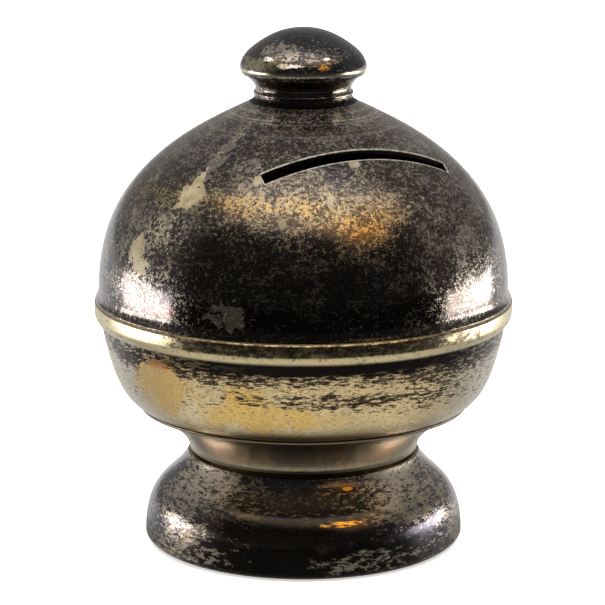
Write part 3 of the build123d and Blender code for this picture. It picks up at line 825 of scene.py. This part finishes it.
cap_dome = spline([(12.3, 97.8), (8.95, 101.3), (4.4, 103.6), (0.02, 104.25)], (-0.42, 1), (-1, 0), 0.25)
cap_in = offset(cap_dome, 1.3)
cap_in[:, 0] = np.maximum(cap_in[:, 0], 0.02)
cap = Shell()
lathe(cap, outline(
    [arc((11.9, 95), (12.6, 96.5), (12.3, 97.8)), cap_dome, line(cap_dome[-1], cap_in[-1]),
     cap_in[::-1], line(cap_in[0], (10.6, 96.4)), line((10.6, 96.4), (10.6, 95)),
     line((10.6, 95), (11.9, 95))],
    [0, 0, 0, 0, 0, 0.1, 0.15]), inside=(2, 3, 4, 5), steps=180)
cap.piece("knob_cap_shell", "lid", ["knob_cap"], [knob_paint("tarnished_plate_cap", True), inside_paint])

# ---- Pieces inside ----------------------------------------------------------------------
def threaded(z, angle, radius, pitch, low, high):
    """Radius of a screw thread that starts at a chamfered point, low, and runs out at high."""
    ridge = 1 - np.abs((z / pitch - angle / (2 * math.pi)) % 1 * 2 - 1)
    depth = 0.6 * pitch * np.clip((high - z) / pitch, 0, 1)
    point = radius * 0.84 + np.clip(z - low, 0, radius)
    return np.minimum(radius - depth * (1 - np.minimum(ridge * 1.2, 1)), point)


def screw(name, body, node, material, heights, radius_at, columns=96):
    """A turned piece whose radius, radius_at(z, angle), also varies with the angle."""
    z, angle = np.meshgrid(heights, np.arange(columns) * 2 * math.pi / columns, indexing="ij")
    r = radius_at(z, angle)
    points = np.stack([r * np.cos(angle), r * np.sin(angle), z], -1).reshape(-1, 3)
    points = np.vstack([points, (0, 0, heights[0]), (0, 0, heights[-1])])
    k = np.arange(columns)
    m = (k + 1) % columns
    faces = []
    for i in range(0, columns * (len(heights) - 1), columns):
        faces += np.column_stack([i + k, i + m, i + m + columns, i + k + columns]).tolist()
    low, high, last = len(points) - 2, len(points) - 1, len(points) - 2 - columns
    faces += [(low, b, a) for a, b in zip(k.tolist(), m.tolist())]
    faces += [(high, last + a, last + b) for a, b in zip(k.tolist(), m.tolist())]
    mesh = bpy.data.meshes.new(name)
    mesh.from_pydata((points * MM).tolist(), [], faces)
    mesh.polygons.foreach_set("use_smooth", [True] * len(mesh.polygons))
    mesh.set_sharp_from_angle(angle=math.radians(40))
    mesh.materials.append(material)
    o = bpy.data.objects.new(name, mesh)
    bpy.context.scene.collection.objects.link(o)
    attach(o, body)
    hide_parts(node)


def bowl_screw(z, angle):
    """M10 x 1.5, with a chamfered hexagon head 16 mm across the flats."""
    hexagon = HALF_FLATS / np.cos(angle % (math.pi / 3) - math.pi / 6)
    head = np.minimum(hexagon, HEAD_CHAMFER_R + BOWL_SCREW_TOP - z)
    return np.where(z < HEAD_Z, threaded(z, angle, 5.0, 1.5, BOWL_SCREW_LOW, HEAD_Z - 2), head)


def knob_screw(z, angle):
    """M4 x 0.7, with a round flange that sits in the knob."""
    return np.where(z < FLANGE_Z, threaded(z, angle, 2.0, 0.7, KNOB_SCREW_LOW, SHANK_Z), FLANGE_R)


def box_mm(node):
    """Lowest and highest corner of a CAD node, in millimetres."""
    return [[v / MM for v in corner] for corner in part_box(node)]


steel = plain("screw_steel", (0.42, 0.40, 0.38), 0.34)
(_, _, BOWL_SCREW_LOW), (_, _, BOWL_SCREW_TOP) = box_mm("bowl_stud")
HEAD_Z, HALF_FLATS, HEAD_CHAMFER_R = BOWL_SCREW_TOP - 4.2, 8.0, 7.4
screw("bowl_stud_screw", "bowl", "bowl_stud", steel,
      np.concatenate([np.arange(BOWL_SCREW_LOW, HEAD_Z - 0.01, 0.15), [HEAD_Z - 0.001, HEAD_Z],
                      np.arange(HEAD_Z + 2.3, BOWL_SCREW_TOP, 0.1), [BOWL_SCREW_TOP]]), bowl_screw)
(_, _, KNOB_SCREW_LOW), (FLANGE_R, _, KNOB_SCREW_TOP) = box_mm("knob_stud")
SHANK_Z, FLANGE_Z = 90.0, 95.0
screw("knob_stud_screw", "lid", "knob_stud", steel,
      np.concatenate([np.arange(KNOB_SCREW_LOW, SHANK_Z, 0.07),
                      [SHANK_Z, FLANGE_Z - 0.001, FLANGE_Z, KNOB_SCREW_TOP]]), knob_screw)

brass = plain("plain_brass", (0.70, 0.52, 0.26), 0.36)
for node, material, slot in (
        ("foot_boss", brass, "plain_brass"), ("foot_rim_ring", brass, "plain_brass"),
        ("bowl_washer", brass, "plain_brass"), ("lid_collar", brass, "plain_brass"),
        ("knob_washer", steel, "screw_steel"), ("knob_nut", steel, "screw_steel")):
    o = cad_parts[node]
    o.data.materials.clear()
    o.data.materials.append(material)

# ---- Stage ------------------------------------------------------------------------------
scene = bpy.context.scene
scene.view_settings.view_transform = "Standard"

floor_mesh = bpy.data.meshes.new("floor")
floor_mesh.from_pydata([(-6, -6, 0), (6, -6, 0), (6, 6, 0), (-6, 6, 0)], [], [(0, 1, 2, 3)])
floor = bpy.data.objects.new("floor", floor_mesh)
scene.collection.objects.link(floor)


def tree_of(owner):
    owner.use_nodes = True
    owner.node_tree.nodes.clear()
    return owner.node_tree


def toward_camera(tree, vector):
    """Splits a direction or place into parts toward, right of and above the camera's side."""
    a = math.radians(CAM)
    out = []
    for axis in ((math.sin(a), -math.cos(a), 0), (math.cos(a), math.sin(a), 0), (0, 0, 1)):
        n = tree.nodes.new("ShaderNodeVectorMath")
        n.operation = "DOT_PRODUCT"
        feed(tree, vector, n.inputs[0])
        n.inputs[1].default_value = axis
        out.append(X(tree, n.outputs["Value"]))
    return out


# White paper round the jar. Its mirror image in the metal is greyer, and it ends in the dark
# room on the camera's side.
floor_material = bpy.data.materials.new("floor_paper")
t = tree_of(floor_material)
coord = t.nodes.new("ShaderNodeTexCoord")
near, right, _ = toward_camera(t, X(t, coord.outputs["Object"]))
light_path = t.nodes.new("ShaderNodeLightPath")
glossy = X(t, light_path.outputs["Is Glossy Ray"])
away = (near * near + right * right).op("SQRT")
turned = right.op("ARCTAN2", near).abs()
# Painted shadow: the mirrored paper is darker close round the jar.
shine = away.ramp(0.024, 0.056, 0.30, 0.86) * (1.0 - turned.bump(1.6, 0.4) * 0.35)
shine = shine * (1.0 - away.ramp(0.115, 0.20) * turned.ramp(1.9, 1.3) * 0.97)
diffuse = t.nodes.new("ShaderNodeBsdfDiffuse")
diffuse.inputs[0].default_value = (0.86, 0.86, 0.865, 1)
paper = t.nodes.new("ShaderNodeAddShader")
own = t.nodes.new("ShaderNodeEmission")
own.inputs[0].default_value = (1, 1, 1, 1)
feed(t, X(t, light_path.outputs["Is Camera Ray"]) * 0.55, own.inputs[1])
t.links.new(diffuse.outputs[0], paper.inputs[0])
t.links.new(own.outputs[0], paper.inputs[1])
emission = t.nodes.new("ShaderNodeEmission")
feed(t, blend(t, (1.0, 1.0, 1.0), (1.0, 0.95, 0.86), turned.ramp(1.6, 1.2)), emission.inputs[0])
feed(t, shine, emission.inputs[1])
either = t.nodes.new("ShaderNodeMixShader")
feed(t, glossy, either.inputs[0])
t.links.new(paper.outputs[0], either.inputs[1])
t.links.new(emission.outputs[0], either.inputs[2])
out = t.nodes.new("ShaderNodeOutputMaterial")
t.links.new(either.outputs[0], out.inputs[0])
floor_mesh.materials.append(floor_material)

# The room: dark behind the camera, grey at the sides, a warm strip high up in front.
world = bpy.data.worlds.new("room")
scene.world = world
t = tree_of(world)
coord = t.nodes.new("ShaderNodeTexCoord")
near, right, above = toward_camera(t, X(t, coord.outputs["Generated"]))
elevation = above.op("ARCSINE") * (180 / math.pi)
azimuth = right.op("ARCTAN2", near) * (180 / math.pi)
low = (0.065 + azimuth.ramp(-60.0, -95.0) * 0.27 + azimuth.ramp(62.0, 100.0) * 0.20
       + azimuth.ramp(130.0, 155.0) * 0.10)
grey = low + (0.30 - low) * elevation.ramp(40.0, 64.0)
edge = azimuth.ramp(8.0, 28.0) * -8.0 + 47.0
warm = (elevation - edge).ramp(1.5, 11.5) * near.ramp(-0.22, 0.10)
lamp = elevation.bump(45.0, 7.0) * azimuth.ramp(26.0, 38.0) * azimuth.ramp(68.0, 56.0)
colour = blend(t, (1.0, 0.97, 0.93), (1.0, 0.90, 0.78), warm)
colour = blend(t, colour, (1.0, 0.74, 0.44), warm * elevation.ramp(64.0, 54.0))
colour = blend(t, colour, (1.0, 0.50, 0.11), lamp)
path = t.nodes.new("ShaderNodeLightPath")
seen = X(t, path.outputs["Is Camera Ray"])
power = (grey + warm * 1.05 + lamp * 1.1) * (1.0 - seen) + seen
background = t.nodes.new("ShaderNodeBackground")
feed(t, blend(t, colour, (1.0, 1.0, 1.0), seen), background.inputs[0])
feed(t, power, background.inputs[1])
out = t.nodes.new("ShaderNodeOutputWorld")
t.links.new(background.outputs[0], out.inputs[0])


def panel(name, place, aim, wide, high, radiance, colour=(1, 1, 1), glossy=True):
    """Soft rectangular light, facing the aim point."""
    data = bpy.data.lights.new(name, "AREA")
    data.shape, data.size, data.size_y = "RECTANGLE", wide, high
    data.energy = radiance * math.pi * wide * high
    data.color = colour
    o = bpy.data.objects.new(name, data)
    o.location = place
    o.rotation_mode = "QUATERNION"
    o.rotation_quaternion = (Vector(place) - Vector(aim)).to_track_quat("Z", "Y")
    o.visible_camera = False
    o.visible_glossy = glossy
    scene.collection.objects.link(o)
    return o


def at(azimuth, distance, height):
    a = math.radians(CAM + azimuth)
    return (distance * math.sin(a), -distance * math.cos(a), height)


panel("overhead", (0, 0, 1.3), (0, 0, 0), 1.6, 1.6, 4.3, glossy=False)
panel("left_window", at(-92, 0.25, 0.027), (0, 0, 0.027), 0.175, 0.050, 8.0, (1.0, 0.96, 0.98))
panel("right_window", at(100, 0.25, 0.024), (0, 0, 0.024), 0.185, 0.044, 8.5, (1.0, 0.98, 0.96))

camera_data = bpy.data.cameras.new("camera")
camera_data.lens, camera_data.sensor_width = 177.2, 36
camera_data.shift_x = -0.0015
camera = bpy.data.objects.new("camera", camera_data)
scene.collection.objects.link(camera)
scene.camera = camera
ELEVATION, DISTANCE, AIM_HEIGHT = math.radians(13.11), 0.600, 0.0485
a = math.radians(CAM)
back = Vector((math.sin(a) * math.cos(ELEVATION), -math.cos(a) * math.cos(ELEVATION),
               math.sin(ELEVATION)))
camera.location = Vector((0, 0, AIM_HEIGHT)) + back * DISTANCE
camera.rotation_mode = "QUATERNION"
camera.rotation_quaternion = back.to_track_quat("Z", "Y")
camera_data.clip_start, camera_data.clip_end = 0.01, 50
